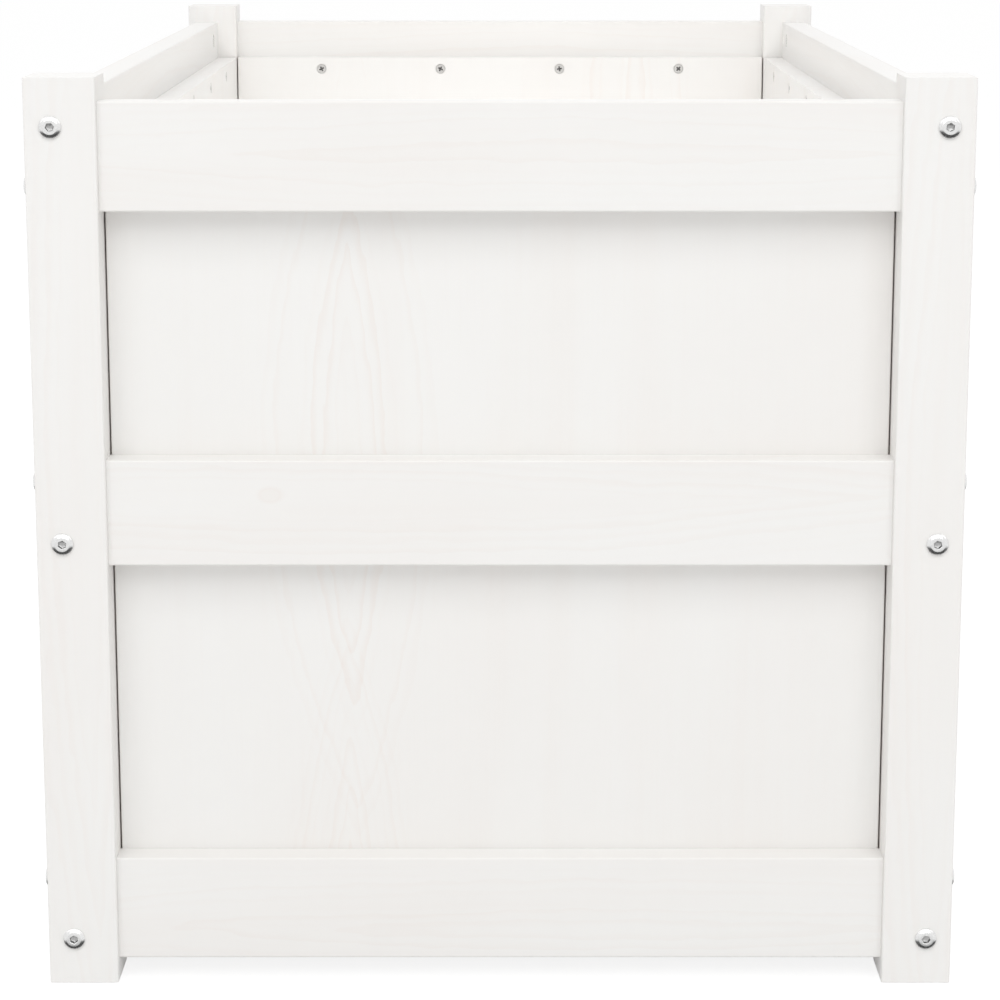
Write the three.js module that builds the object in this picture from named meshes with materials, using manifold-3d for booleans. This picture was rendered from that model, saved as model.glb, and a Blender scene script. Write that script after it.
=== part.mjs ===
// A long planter box in painted softwood: four square corner posts, three rails bolted between
// them on each wall, a board behind the rails of each wall, and a floor of slats on two bearers.
// Millimetres, +Z up. X runs across the box and Y along its long walls. The front is the short
// wall at -Y. The origin is on the ground, under the middle of the box.

import * as THREE from "three";
import { mergeVertices } from "three/addons/utils/BufferGeometryUtils.js";
import Module from "manifold-3d";

// Overall sizes, over the posts
const LENGTH = 900;
const WIDTH = 500;
const HEIGHT = 500;

// Corner posts
const POST_SIDE = 38;
const POST_ARRIS = 1; // radius along the long edges
const POST_END_CHAMFER = 0.5; // softened rim of the top and the foot

// Rails
const RAIL_HEIGHT = 58;
const RAIL_THICKNESS = 18;
const RAIL_ARRIS = 1;
const RAIL_SETBACK = 5; // rail face behind the post face
const FOOT_HEIGHT = 13; // ground to the bottom rail
const POST_REVEAL = 13; // top rail to the post top

// Wall boards
const PANEL_THICKNESS = 15;
const PANEL_ARRIS = 1;
const PANEL_END_CHAMFER = 0.5;
const PANEL_EDGE_GAP = 0.6; // board edge to the inside corner of the wall
const PANEL_TOP_DROP = 28; // top of the board below the top rail's upper edge

// Floor
const BEARER_WIDTH = 38;
const BEARER_HEIGHT = 28;
const BEARER_ARRIS = 2;
const BEARER_END_GAP = 1;
const SLAT_WIDTH = 90;
const SLAT_THICKNESS = 15;
const SLAT_ARRIS = 2;
const SLAT_END_GAP = 2; // slat end to the wall board
const SLAT_LEAST_GAP = 10; // drainage gap between slats, made wider to fill the length evenly

// Bolts, each screwed into a barrel nut in the rail
const BOLT_MARGIN = 13; // bolt axis to the nearer long edge of the rail
const BOLT_DIAMETER = 6;
const BOLT_TIP_CHAMFER = 0.8;
const BOLT_TIP_PAST_NUT = 3;
const HEAD_DIAMETER = 12;
const HEAD_FLAT_DIAMETER = 7.4;
const HEAD_HEIGHT = 2.4;
const HEAD_RIM = 0.9; // upright rim below the head's round shoulder
const HEAD_SHOULDER_SLOPE = 15; // degrees, where the shoulder leaves the flat
const SOCKET_ACROSS_FLATS = 4;
const SOCKET_DEPTH = 3.5;
const NUT_DIAMETER = 10;
const NUT_INSET = 34; // nut axis to the end of the rail
const NUT_COVER = 3; // wood between the nut's bore and the rail's outer face
const NUT_SLOT_WIDTH = 1.4;
const NUT_SLOT_DEPTH = 1.2;

// Clearances
const FIT_GAP = 0.1; // joint line between two pieces that meet
const BORE_CLEARANCE = 0.5; // round a bolt or a nut in its bore
const BORE_END_CLEARANCE = 1; // past the end of a bolt or a nut in its bore

// Fineness of round forms
const ARRIS_STEPS = 2; // half the facets of each rounded edge
const HEAD_STEPS = 16;
const HEAD_SHOULDER_STEPS = 2;
const SHANK_STEPS = 8;
const NUT_STEPS = 12;
const CUT_OVERRUN = 1; // how far a cutter starts outside the wood

// Places that follow from the sizes above
const RAIL_MIDLINE = RAIL_SETBACK + RAIL_THICKNESS / 2; // below the post face
const RAIL_BACK = RAIL_SETBACK + RAIL_THICKNESS;
const WALL_DEPTH = RAIL_BACK + FIT_GAP + PANEL_THICKNESS;
const CORNER_INSET = Math.max(POST_SIDE, WALL_DEPTH); // inside corner, below the post face
const BEARER_TOP = FOOT_HEIGHT + BEARER_HEIGHT;
const PANEL_BASE = BEARER_TOP + FIT_GAP;
const TOP_RAIL_BASE = HEIGHT - POST_REVEAL - RAIL_HEIGHT;
const PANEL_TOP = HEIGHT - POST_REVEAL - PANEL_TOP_DROP;
const NUT_LENGTH = RAIL_THICKNESS - NUT_COVER - BORE_END_CLEARANCE;
const NUT_AXIS_REACH = POST_SIDE + FIT_GAP + NUT_INSET; // post face to the nut's axis
const BOLT_LENGTH = NUT_AXIS_REACH + NUT_DIAMETER / 2 + BOLT_TIP_PAST_NUT;
const BOLT_BORE_RADIUS = BOLT_DIAMETER / 2 + BORE_CLEARANCE;

// The bolts of the long walls run near one edge of each rail, and those of the short walls near
// the other edge, so that they pass each other inside the posts. The middle rail hangs on a bolt
// at half the post's height.
const LEVELS = [
  { name: "bottom", base: FOOT_HEIGHT, longWallBolt: BOLT_MARGIN },
  { name: "middle", base: HEIGHT / 2 - BOLT_MARGIN, longWallBolt: BOLT_MARGIN },
  { name: "top", base: TOP_RAIL_BASE, longWallBolt: RAIL_HEIGHT - BOLT_MARGIN },
];

// Each wall is built facing -Y and turned about Z. Its ends are named from its -X end to its +X end.
const WALLS = [
  { name: "front", quarterTurns: 0, span: WIDTH, depth: LENGTH, long: false, ends: ["left", "right"] },
  { name: "right", quarterTurns: 1, span: LENGTH, depth: WIDTH, long: true, ends: ["front", "rear"] },
  { name: "rear", quarterTurns: 2, span: WIDTH, depth: LENGTH, long: false, ends: ["right", "left"] },
  { name: "left", quarterTurns: 3, span: LENGTH, depth: WIDTH, long: true, ends: ["rear", "front"] },
];

const CORNERS = [
  { name: "front_left", sideX: -1, sideY: -1 },
  { name: "front_right", sideX: 1, sideY: -1 },
  { name: "rear_left", sideX: -1, sideY: 1 },
  { name: "rear_right", sideX: 1, sideY: 1 },
];

const wasm = await Module();
wasm.setup();

// Solids and geometry

function toSolid(geometry) {
  const bare = geometry.clone();
  bare.deleteAttribute("normal");
  bare.deleteAttribute("uv");
  const merged = mergeVertices(bare);
  const mesh = new wasm.Mesh({
    numProp: 3,
    vertProperties: new Float32Array(merged.attributes.position.array),
    triVerts: new Uint32Array(merged.index.array),
  });
  return new wasm.Manifold(mesh);
}

function toGeometry(solid) {
  const mesh = solid.getMesh();
  const geometry = new THREE.BufferGeometry();
  geometry.setAttribute("position", new THREE.BufferAttribute(mesh.vertProperties, 3));
  geometry.setIndex(new THREE.BufferAttribute(mesh.triVerts, 1));
  geometry.computeVertexNormals();
  return geometry;
}

function roundedRectangle(width, height, radius) {
  const x = width / 2 - radius;
  const y = height / 2 - radius;
  const shape = new THREE.Shape();
  shape.absarc(x, -y, radius, -Math.PI / 2, 0);
  shape.absarc(x, y, radius, 0, Math.PI / 2);
  shape.absarc(-x, y, radius, Math.PI / 2, Math.PI);
  shape.absarc(-x, -y, radius, Math.PI, 1.5 * Math.PI);
  return shape;
}

// A planed length of wood that stands on z = 0, with its long edges rounded. A chamfer round its
// ends has to stay inside the rounding.
function timberUpright(width, depth, arris, length, chamfer = 0) {
  const endChamfer = Math.min(chamfer, arris / 2);
  const geometry = new THREE.ExtrudeGeometry(roundedRectangle(width, depth, arris), {
    depth: length - 2 * endChamfer,
    curveSegments: ARRIS_STEPS,
    bevelEnabled: endChamfer > 0,
    bevelThickness: endChamfer,
    bevelSize: endChamfer,
    bevelOffset: -endChamfer,
    bevelSegments: 1,
  });
  return geometry.translate(0, 0, endChamfer);
}

// The same laid along X, with its middle at the origin, its width along Y and its height along Z.
function timberAlongX(width, height, arris, length) {
  const geometry = timberUpright(width, height, arris, length);
  geometry.translate(0, 0, -length / 2);
  geometry.rotateX(Math.PI / 2);
  return geometry.rotateZ(Math.PI / 2);
}

function rodAlongY(radius, from, to, steps) {
  const geometry = new THREE.CylinderGeometry(radius, radius, to - from, steps);
  return geometry.translate(0, (from + to) / 2, 0);
}

function rodAlongX(radius, from, to, steps) {
  return rodAlongY(radius, from, to, steps).rotateZ(-Math.PI / 2);
}

// Materials

function whitePaint() {
  return new THREE.MeshStandardMaterial({ color: 0xf0efed, roughness: 0.55, metalness: 0 });
}

function zincPlate() {
  return new THREE.MeshStandardMaterial({ color: 0xc8cacc, roughness: 0.28, metalness: 1 });
}

function namedMesh(name, geometry, material) {
  const mesh = new THREE.Mesh(geometry, material);
  mesh.name = name;
  return mesh;
}

// Corner posts

function boltHeight(level, wall) {
  const withinRail = wall.long ? level.longWallBolt : RAIL_HEIGHT - level.longWallBolt;
  return level.base + withinRail;
}

function postBores(corner) {
  const reach = POST_SIDE / 2 + CUT_OVERRUN;
  const offset = POST_SIDE / 2 - RAIL_MIDLINE;
  const bores = [];
  for (const level of LEVELS) {
    const alongY = rodAlongY(BOLT_BORE_RADIUS, -reach, reach, SHANK_STEPS);
    alongY.translate(corner.sideX * offset, 0, boltHeight(level, { long: true }));
    const alongX = rodAlongX(BOLT_BORE_RADIUS, -reach, reach, SHANK_STEPS);
    alongX.translate(0, corner.sideY * offset, boltHeight(level, { long: false }));
    bores.push(alongY, alongX);
  }
  return bores;
}

function buildPost(corner) {
  let solid = toSolid(timberUpright(POST_SIDE, POST_SIDE, POST_ARRIS, HEIGHT, POST_END_CHAMFER));
  for (const bore of postBores(corner)) {
    solid = solid.subtract(toSolid(bore));
  }
  const post = namedMesh(`post_${corner.name}`, toGeometry(solid), whitePaint());
  const x = corner.sideX * (WIDTH - POST_SIDE) / 2;
  const y = corner.sideY * (LENGTH - POST_SIDE) / 2;
  post.position.set(x, y, 0);
  return post;
}

// Rails

function railBores(halfLength, boltZ) {
  const boltDepth = BOLT_LENGTH - POST_SIDE - FIT_GAP + BORE_END_CLEARANCE;
  const nutRadius = NUT_DIAMETER / 2 + BORE_CLEARANCE;
  const nutFrom = NUT_COVER - RAIL_THICKNESS / 2;
  const nutTo = RAIL_THICKNESS / 2 + CUT_OVERRUN;
  const bores = [];
  for (const side of [-1, 1]) {
    const ends = [side * (halfLength - boltDepth), side * (halfLength + CUT_OVERRUN)];
    const boltBore = rodAlongX(BOLT_BORE_RADIUS, Math.min(...ends), Math.max(...ends), SHANK_STEPS);
    const nutBore = rodAlongY(nutRadius, nutFrom, nutTo, NUT_STEPS);
    boltBore.translate(0, 0, boltZ);
    nutBore.translate(side * (halfLength - NUT_INSET), 0, boltZ);
    bores.push(boltBore, nutBore);
  }
  return bores;
}

function buildRail(wall, level) {
  const length = wall.span - 2 * (POST_SIDE + FIT_GAP);
  const middle = level.base + RAIL_HEIGHT / 2;
  let solid = toSolid(timberAlongX(RAIL_THICKNESS, RAIL_HEIGHT, RAIL_ARRIS, length));
  for (const bore of railBores(length / 2, boltHeight(level, wall) - middle)) {
    solid = solid.subtract(toSolid(bore));
  }
  const rail = namedMesh(`rail_${wall.name}_${level.name}`, toGeometry(solid), whitePaint());
  rail.position.set(0, RAIL_MIDLINE - wall.depth / 2, middle);
  return rail;
}

// Bolts

function boltHeadProfile() {
  const width = (HEAD_DIAMETER - HEAD_FLAT_DIAMETER) / 2;
  const start = THREE.MathUtils.degToRad(HEAD_SHOULDER_SLOPE);
  const end = 2 * Math.atan2(HEAD_HEIGHT - HEAD_RIM, width) - start;
  const curve = width / (Math.sin(end) - Math.sin(start));
  const points = [new THREE.Vector2(0, -HEAD_HEIGHT)];
  for (let step = 0; step <= HEAD_SHOULDER_STEPS; step += 1) {
    const angle = start + ((end - start) * step) / HEAD_SHOULDER_STEPS;
    const radius = HEAD_FLAT_DIAMETER / 2 + curve * (Math.sin(angle) - Math.sin(start));
    points.push(new THREE.Vector2(radius, -HEAD_RIM - curve * (Math.cos(angle) - Math.cos(end))));
  }
  points.push(new THREE.Vector2(HEAD_DIAMETER / 2, 0), new THREE.Vector2(0, 0));
  return points;
}

function nutSolid() {
  const slottedEnd = RAIL_THICKNESS / 2;
  const body = rodAlongY(NUT_DIAMETER / 2, slottedEnd - NUT_LENGTH, slottedEnd, NUT_STEPS);
  const slot = new THREE.BoxGeometry(NUT_DIAMETER + CUT_OVERRUN, 2 * NUT_SLOT_DEPTH, NUT_SLOT_WIDTH);
  slot.translate(0, slottedEnd, 0);
  const nut = toSolid(body).subtract(toSolid(slot));
  return nut.translate([NUT_AXIS_REACH, 0, 0]);
}

// A bolt that runs along +X from the underside of its head, with the barrel nut it is screwed into.
function boltGeometry() {
  const socketRadius = SOCKET_ACROSS_FLATS / Math.sqrt(3);
  const head = new THREE.LatheGeometry(boltHeadProfile(), HEAD_STEPS).rotateZ(-Math.PI / 2);
  const taperStart = BOLT_LENGTH - BOLT_TIP_CHAMFER;
  const shank = rodAlongX(BOLT_DIAMETER / 2, -HEAD_RIM, taperStart, SHANK_STEPS);
  const tipRadius = BOLT_DIAMETER / 2 - BOLT_TIP_CHAMFER;
  const tip = new THREE.CylinderGeometry(tipRadius, BOLT_DIAMETER / 2, BOLT_TIP_CHAMFER, SHANK_STEPS);
  tip.translate(0, BOLT_LENGTH - BOLT_TIP_CHAMFER / 2, 0).rotateZ(-Math.PI / 2);
  const socket = rodAlongX(socketRadius, -HEAD_HEIGHT - CUT_OVERRUN, SOCKET_DEPTH - HEAD_HEIGHT, 6);
  const shaft = toSolid(shank).add(toSolid(tip)).add(nutSolid());
  return toGeometry(toSolid(head).add(shaft).subtract(toSolid(socket)));
}

function buildBolts(wall, geometry) {
  const bolts = [];
  for (const level of LEVELS) {
    for (const [index, end] of wall.ends.entries()) {
      const bolt = namedMesh(`bolt_${wall.name}_${level.name}_${end}`, geometry, zincPlate());
      const side = index === 0 ? -1 : 1;
      const x = side * (wall.span / 2 + FIT_GAP);
      bolt.position.set(x, RAIL_MIDLINE - wall.depth / 2, boltHeight(level, wall));
      bolt.rotation.y = index === 0 ? 0 : Math.PI;
      bolts.push(bolt);
    }
  }
  return bolts;
}

// Wall boards, with the grain upright

function buildPanel(wall) {
  const width = wall.span - 2 * (CORNER_INSET + PANEL_EDGE_GAP);
  const height = PANEL_TOP - PANEL_BASE;
  const geometry = timberUpright(width, PANEL_THICKNESS, PANEL_ARRIS, height, PANEL_END_CHAMFER);
  const panel = namedMesh(`panel_${wall.name}`, geometry, whitePaint());
  const fromFace = RAIL_BACK + FIT_GAP + PANEL_THICKNESS / 2;
  panel.position.set(0, fromFace - wall.depth / 2, PANEL_BASE);
  return panel;
}

function buildWall(wall, bolt) {
  const group = new THREE.Group();
  group.rotation.z = wall.quarterTurns * (Math.PI / 2);
  for (const level of LEVELS) {
    group.add(buildRail(wall, level));
  }
  group.add(buildPanel(wall), ...buildBolts(wall, bolt));
  return group;
}

// Floor

function buildBearer(name, side) {
  const length = LENGTH - 2 * (CORNER_INSET + BEARER_END_GAP);
  const geometry = timberAlongX(BEARER_WIDTH, BEARER_HEIGHT, BEARER_ARRIS, length);
  geometry.rotateZ(Math.PI / 2);
  const bearer = namedMesh(name, geometry, whitePaint());
  const x = side * (WIDTH / 2 - RAIL_BACK - FIT_GAP - BEARER_WIDTH / 2);
  bearer.position.set(x, 0, FOOT_HEIGHT + BEARER_HEIGHT / 2);
  return bearer;
}

function buildSlats() {
  const run = LENGTH - 2 * CORNER_INSET;
  const count = Math.floor((run - SLAT_LEAST_GAP) / (SLAT_WIDTH + SLAT_LEAST_GAP));
  const gap = (run - count * SLAT_WIDTH) / (count + 1);
  const length = WIDTH - 2 * (CORNER_INSET + SLAT_END_GAP);
  const slats = [];
  for (let index = 0; index < count; index += 1) {
    const geometry = timberAlongX(SLAT_WIDTH, SLAT_THICKNESS, SLAT_ARRIS, length);
    const slat = namedMesh(`floor_slat_${index + 1}`, geometry, whitePaint());
    const y = gap + SLAT_WIDTH / 2 + index * (SLAT_WIDTH + gap) - run / 2;
    slat.position.set(0, y, BEARER_TOP + FIT_GAP + SLAT_THICKNESS / 2);
    slats.push(slat);
  }
  return slats;
}

const planter = new THREE.Group();
for (const corner of CORNERS) {
  planter.add(buildPost(corner));
}
const bolt = boltGeometry();
for (const wall of WALLS) {
  planter.add(buildWall(wall, bolt));
}
planter.add(buildBearer("floor_bearer_left", -1), buildBearer("floor_bearer_right", 1));
planter.add(...buildSlats());

export default planter;
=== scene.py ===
"""Dresses the fixed frame of a white-painted wooden planter box: timber, boards, bolts and screws.

All sizes are in metres, in the frame's own axes: Z up, Y along the long walls, X across.
"""

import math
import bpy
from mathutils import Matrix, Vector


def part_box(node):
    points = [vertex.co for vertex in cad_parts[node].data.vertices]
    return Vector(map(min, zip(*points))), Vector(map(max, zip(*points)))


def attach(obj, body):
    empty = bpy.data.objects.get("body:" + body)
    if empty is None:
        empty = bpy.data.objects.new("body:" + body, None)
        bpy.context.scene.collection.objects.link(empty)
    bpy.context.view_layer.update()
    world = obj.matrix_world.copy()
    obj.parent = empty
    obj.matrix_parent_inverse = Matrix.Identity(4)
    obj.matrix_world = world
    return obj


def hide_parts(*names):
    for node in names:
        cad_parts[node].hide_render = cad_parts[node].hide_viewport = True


bl_info = {
    "name": "Framed planter box",
    "version": (1, 0, 0),
    "blender": (4, 5, 0),
    "location": "View3D > Sidebar > Planter",
    "description": "Models the timber and fasteners of a bolted planter box round its frame",
    "category": "Object",
}

import bmesh
import bpy
from bpy.props import FloatProperty, FloatVectorProperty, IntProperty, PointerProperty
from mathutils import Matrix, Vector

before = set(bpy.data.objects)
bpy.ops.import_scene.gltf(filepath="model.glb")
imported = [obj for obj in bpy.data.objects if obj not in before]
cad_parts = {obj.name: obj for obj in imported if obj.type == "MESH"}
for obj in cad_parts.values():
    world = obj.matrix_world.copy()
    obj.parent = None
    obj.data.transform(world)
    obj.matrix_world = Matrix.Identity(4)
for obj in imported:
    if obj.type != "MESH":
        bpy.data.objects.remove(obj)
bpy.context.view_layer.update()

AXES = {"X": 0, "Y": 1, "Z": 2}
FACE_AXIS = {"X": "Y", "Y": "X"}
LEVELS = ("bottom", "middle", "top")
CORNERS = ("front_left", "front_right", "rear_left", "rear_right")

# For each wall: the axis it runs along, the way it faces, and its ends with the way each points.
SIDES = {"left": (-1, 0, 0), "right": (1, 0, 0)}
ENDS = {"front": (0, -1, 0), "rear": (0, 1, 0)}
WALLS = {
    "front": {"run": "X", "out": ENDS["front"], "ends": SIDES},
    "rear": {"run": "X", "out": ENDS["rear"], "ends": SIDES},
    "left": {"run": "Y", "out": SIDES["left"], "ends": ENDS},
    "right": {"run": "Y", "out": SIDES["right"], "ends": ENDS},
}

# Flame figures on the wall boards, where the saw just touched the heart of the tree. Each is
# placed across and along the board from its middle, then comes half its length and half the
# width of its first ring.
BOARD_FIGURES = {
    "front": ((-0.081, 0.043, 0.122, 0.015), (-0.084, -0.240, 0.110, 0.011)),
    "rear": ((0.108, 0.150, 0.180, 0.016), (-0.120, -0.060, 0.210, 0.013)),
    "left": (
        (-0.290, 0.060, 0.160, 0.016),
        (-0.045, 0.190, 0.240, 0.014),
        (0.235, -0.040, 0.150, 0.018),
    ),
    "right": (
        (0.312, 0.020, 0.190, 0.017),
        (0.085, 0.160, 0.150, 0.014),
        (-0.255, -0.090, 0.240, 0.016),
    ),
}

# Figures on the other timber, with the same values. Rails have them by level, and further along on
# a long wall. On posts and floor timber they shift in waves over the object: how far, how quickly.
RAIL_FIGURES = {"bottom": (-0.012, 0.06), "middle": (0.008, -0.11), "top": (0.002, 0.03)}
LONG_WALL_STRETCH = 2
RAIL_FIGURE_SIZE = (0.28, 0.013)
POST_HEART = 0.008
POST_WAVE = (0.10, 9.0, 5.0)
POST_FIGURE_SIZE = (0.30, 0.016)
FLOOR_WAVES = ((0.02, 17.0), (0.08, 11.0))
FLOOR_FIGURE_SIZE = (0.19, 0.012)

# Knots under the paint: the piece, then its place along the grain and across it from the
# middle of the piece, and its radius.
KNOTS = {
    "rail_front_middle": ((-0.124, 0.010, 0.0040),),
    "rail_left_top": ((0.205, -0.008, 0.0065),),
    "rail_right_middle": ((-0.260, 0.006, 0.0080), (0.120, -0.012, 0.0050)),
    "rail_rear_bottom": ((0.095, 0.004, 0.0070),),
    "floor_slat_3": ((0.070, 0.020, 0.0090),),
    "floor_slat_6": ((-0.110, -0.016, 0.0080),),
}


def length_setting(name, description, default):
    return FloatProperty(name=name, description=description, default=default, unit="LENGTH")


def power_setting(name, description, default):
    return FloatProperty(name=name, description=description, default=default, unit="POWER")


def count_setting(name, description, default, least):
    return IntProperty(name=name, description=description, default=default, min=least)


def colour_setting(name, description, default):
    return FloatVectorProperty(
        name=name, description=description, default=default, subtype="COLOR", size=3
    )


class TimberSettings(bpy.types.PropertyGroup):
    """Sizes of the planed timber."""

    post_arris: length_setting("Post arris", "Radius of the posts' long edges", 0.001)
    rail_arris: length_setting("Rail arris", "Radius of the rails' long edges", 0.001)
    board_arris: length_setting("Board arris", "Radius of the boards' edges", 0.001)
    floor_arris: length_setting("Floor arris", "Radius of the floor timber's edges", 0.002)
    post_end_ease: length_setting("Post end", "Softening of the posts' ends", 0.0006)
    cut_end_ease: length_setting("Cut end", "Softening of the other cut ends", 0.0001)
    arris_steps: count_setting("Arris steps", "Facets across each rounded edge", 4, 1)


class BoltSettings(bpy.types.PropertyGroup):
    """Sizes of the bolts and barrel nuts."""

    head_diameter: length_setting("Head", "Diameter of the bolt head", 0.012)
    head_flat: length_setting("Head flat", "Diameter of the head's flat face", 0.0074)
    head_height: length_setting("Head height", "Height of the head off the post", 0.0024)
    head_rim: length_setting("Head rim", "Upright rim below the shoulder", 0.0009)
    socket: length_setting("Socket", "Hex socket across its flats", 0.004)
    socket_depth: length_setting("Socket depth", "Depth of the hex socket", 0.0032)
    shank: length_setting("Shank", "Diameter of the bolt's shank", 0.006)
    bore_clearance: length_setting("Bore clearance", "Gap round a shank or nut", 0.0004)
    nut_diameter: length_setting("Nut", "Diameter of the barrel nut", 0.010)
    nut_length: length_setting("Nut length", "Length of the barrel nut", 0.014)
    nut_slot: length_setting("Nut slot", "Width of the slot in the nut's end", 0.0014)


class ScrewSettings(bpy.types.PropertyGroup):
    """Sizes and places of the countersunk screws."""

    head_diameter: length_setting("Head", "Diameter of the screw head", 0.0074)
    shank: length_setting("Shank", "Diameter of the shank", 0.0035)
    length: length_setting("Length", "Length of the screw", 0.025)
    sink: length_setting("Sink", "How far the head lies below the wood", 0.0003)
    board_margin: length_setting("Board margin", "Screw row to the board's end", 0.0091)
    short_inset: length_setting("Short wall inset", "First screw to the post", 0.0682)
    long_inset: length_setting("Long wall inset", "First screw to the post", 0.096)
    short_count: count_setting("Short wall screws", "Screws in a row on a short wall", 4, 2)
    long_count: count_setting("Long wall screws", "Screws in a row on a long wall", 6, 2)
    slat_spread: length_setting("Slat spread", "Between the two screws of a slat end", 0.050)
    bearer_count: count_setting("Bearer screws", "Screws along each bearer", 5, 2)


class PaintSettings(bpy.types.PropertyGroup):
    """Colours of the finishes."""

    paint: colour_setting("Paint", "White paint", (0.882, 0.874, 0.857))
    paint_shade: colour_setting(
        "Paint over grain", "Paint where late wood or a knot shows through", (0.830, 0.760, 0.715)
    )
    # The board edge's tan is thin paint, and partly painted shade that darkens the slots beside the
    # posts.
    board_edge: colour_setting(
        "Board edge", "Thinly painted side edges of the wall boards", (0.760, 0.640, 0.560)
    )
    zinc: colour_setting("Zinc", "Bright zinc of bolts and nuts", (0.880, 0.880, 0.875))
    screw_steel: colour_setting("Screw steel", "Zinc of the screw heads", (0.780, 0.775, 0.765))
    roughness: FloatProperty(
        name="Paint roughness", description="Satin sheen of the paint", default=0.42, min=0, max=1
    )


class StageSettings(bpy.types.PropertyGroup):
    """Camera, floor and light."""

    camera_height: length_setting("Camera height", "Above the ground", 0.6047)
    camera_distance: length_setting("Camera distance", "From the front of the posts", 1.588)
    camera_pitch: FloatProperty(
        name="Camera pitch",
        description="Below the horizon",
        default=math.radians(11.75),
        subtype="ANGLE",
        unit="ROTATION",
    )
    camera_lens: FloatProperty(name="Lens", description="Focal length in millimetres", default=108.6)
    floor_size: length_setting("Floor", "Width of the floor", 60.0)
    sky_strength: FloatProperty(
        name="Sky", description="Strength of the even light from all round", default=0.61
    )
    front_power: power_setting("Front light", "Power of the light before the front wall", 66.0)
    rear_power: power_setting("Rear light", "Power of the light behind the rear wall", 18.0)
    side_power: power_setting("Side lights", "Power of each light beside a long wall", 11.0)
    top_power: power_setting("Top light", "Power of the light overhead", 1.0)
    inner_power: power_setting("Inner bulbs", "Power of each soft bulb inside the box", 0.30)


class PlanterSettings(bpy.types.PropertyGroup):
    """Everything that can be set on the planter."""

    timber: PointerProperty(type=TimberSettings)
    bolts: PointerProperty(type=BoltSettings)
    screws: PointerProperty(type=ScrewSettings)
    paint: PointerProperty(type=PaintSettings)
    stage: PointerProperty(type=StageSettings)


# Materials


def add_node(nodes, kind, values):
    """A shader node with constants on its own sockets."""
    node = nodes.new(kind)
    for name, value in values.items():
        node.inputs[name].default_value = value
    return node


class Finish:
    """A material's nodes, with short calls that add and join them."""

    def __init__(self, name, roughness, metallic=0.0):
        self.material = bpy.data.materials.new(name)
        self.material.use_nodes = True
        self.nodes = self.material.node_tree.nodes
        self.links = self.material.node_tree.links
        self.nodes.clear()
        values = {"Roughness": roughness, "Metallic": metallic}
        self.shader = add_node(self.nodes, "ShaderNodeBsdfPrincipled", values)
        output = self.nodes.new("ShaderNodeOutputMaterial")
        self.links.new(self.shader.outputs["BSDF"], output.inputs["Surface"])

    def feed(self, socket, value):
        """Joins an output to a socket, or writes a constant on it."""
        if isinstance(value, bpy.types.NodeSocket):
            self.links.new(value, socket)
        else:
            socket.default_value = value

    def join(self, node, *values):
        """Feeds a node's sockets in their order, and gives its output."""
        for socket, value in zip(node.inputs, values):
            self.feed(socket, value)
        return node.outputs[0]

    def math(self, operation, *values):
        node = self.nodes.new("ShaderNodeMath")
        node.operation = operation
        return self.join(node, *values)

    def product(self, first, second):
        return self.math("MULTIPLY", first, second)

    def combine(self, x, y, z):
        """A point made of three values."""
        return self.join(self.nodes.new("ShaderNodeCombineXYZ"), x, y, z)

    def fade(self, value, start, end, low=0.0, high=1.0):
        """A smooth step of a value from start to end."""
        node = self.nodes.new("ShaderNodeMapRange")
        node.interpolation_type = "SMOOTHSTEP"
        names = ("Value", "From Min", "From Max", "To Min", "To Max")
        for name, setting in zip(names, (value, start, end, low, high)):
            self.feed(node.inputs[name], setting)
        return node.outputs["Result"]

    def noise(self, place, scale, detail=2.0, roughness=0.5):
        values = {"Scale": scale, "Detail": detail, "Roughness": roughness}
        node = add_node(self.nodes, "ShaderNodeTexNoise", values)
        self.feed(node.inputs["Vector"], place)
        return node.outputs["Fac"]

    def mix(self, factor, first, second):
        """A colour between two others."""
        node = self.nodes.new("ShaderNodeMix")
        node.data_type = "RGBA"
        self.feed(node.inputs["Factor"], factor)
        for name, colour in (("A", first), ("B", second)):
            socket = next(s for s in node.inputs if s.name == name and s.type == "RGBA")
            socket.default_value = (*colour, 1.0)
        return next(s for s in node.outputs if s.type == "RGBA")

    def colour(self, value):
        self.feed(self.shader.inputs["Base Color"], value)

    def gloss(self, value):
        self.feed(self.shader.inputs["Roughness"], value)

    def bump(self, height, strength, distance):
        """Raises the surface by a height, without a change to its mesh."""
        node = add_node(self.nodes, "ShaderNodeBump", {"Strength": strength, "Distance": distance})
        self.feed(node.inputs["Height"], height)
        self.feed(self.shader.inputs["Normal"], node.outputs["Normal"])

    def place(self, centre, grain, face):
        """Distances from a piece's middle: across its face, through it, and along its grain."""
        coordinates = self.nodes.new("ShaderNodeTexCoord")
        mapping = add_node(self.nodes, "ShaderNodeMapping", {"Location": -Vector(centre)})
        self.feed(mapping.inputs["Vector"], coordinates.outputs["Object"])
        split = self.nodes.new("ShaderNodeSeparateXYZ")
        self.join(split, mapping.outputs[0])
        across = next(axis for axis in AXES if axis not in (grain, face))
        return [split.outputs[AXES[axis]] for axis in (across, face, grain)]


def darker(colour, share):
    """A colour with only a share of its light."""
    return tuple(channel * share for channel in colour)


# Growth rings: how their heart line wanders, how round the flames' tips are, how the rings shift
# through the wood, how ragged they are, and how many there are in the first one's width. Each line
# grows and then stops short, some are fainter than others, and the outermost fade away.
HEART_WANDER = 0.012
HEART_BEND_SCALE = 4.5
HEARTS_APART = 40.0
TIP_ROUNDING = 0.0012
RING_SHIFT = -20.0
RAG_STRETCH = 4.0
RAG_SCALE = 34.0
RAG_DEPTH = 0.5
RINGS_PER_WIDTH = 2.2
RING_GROWS = (0.25, 0.88)
RING_STOPS = (1.0, 0.90)
RINGS_APART = 90.0
FAINTNESS_SCALE = 0.9
FAINTNESS = (0.36, 0.66)
FIGURE_FADES = (4.5, 1.8)


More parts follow.
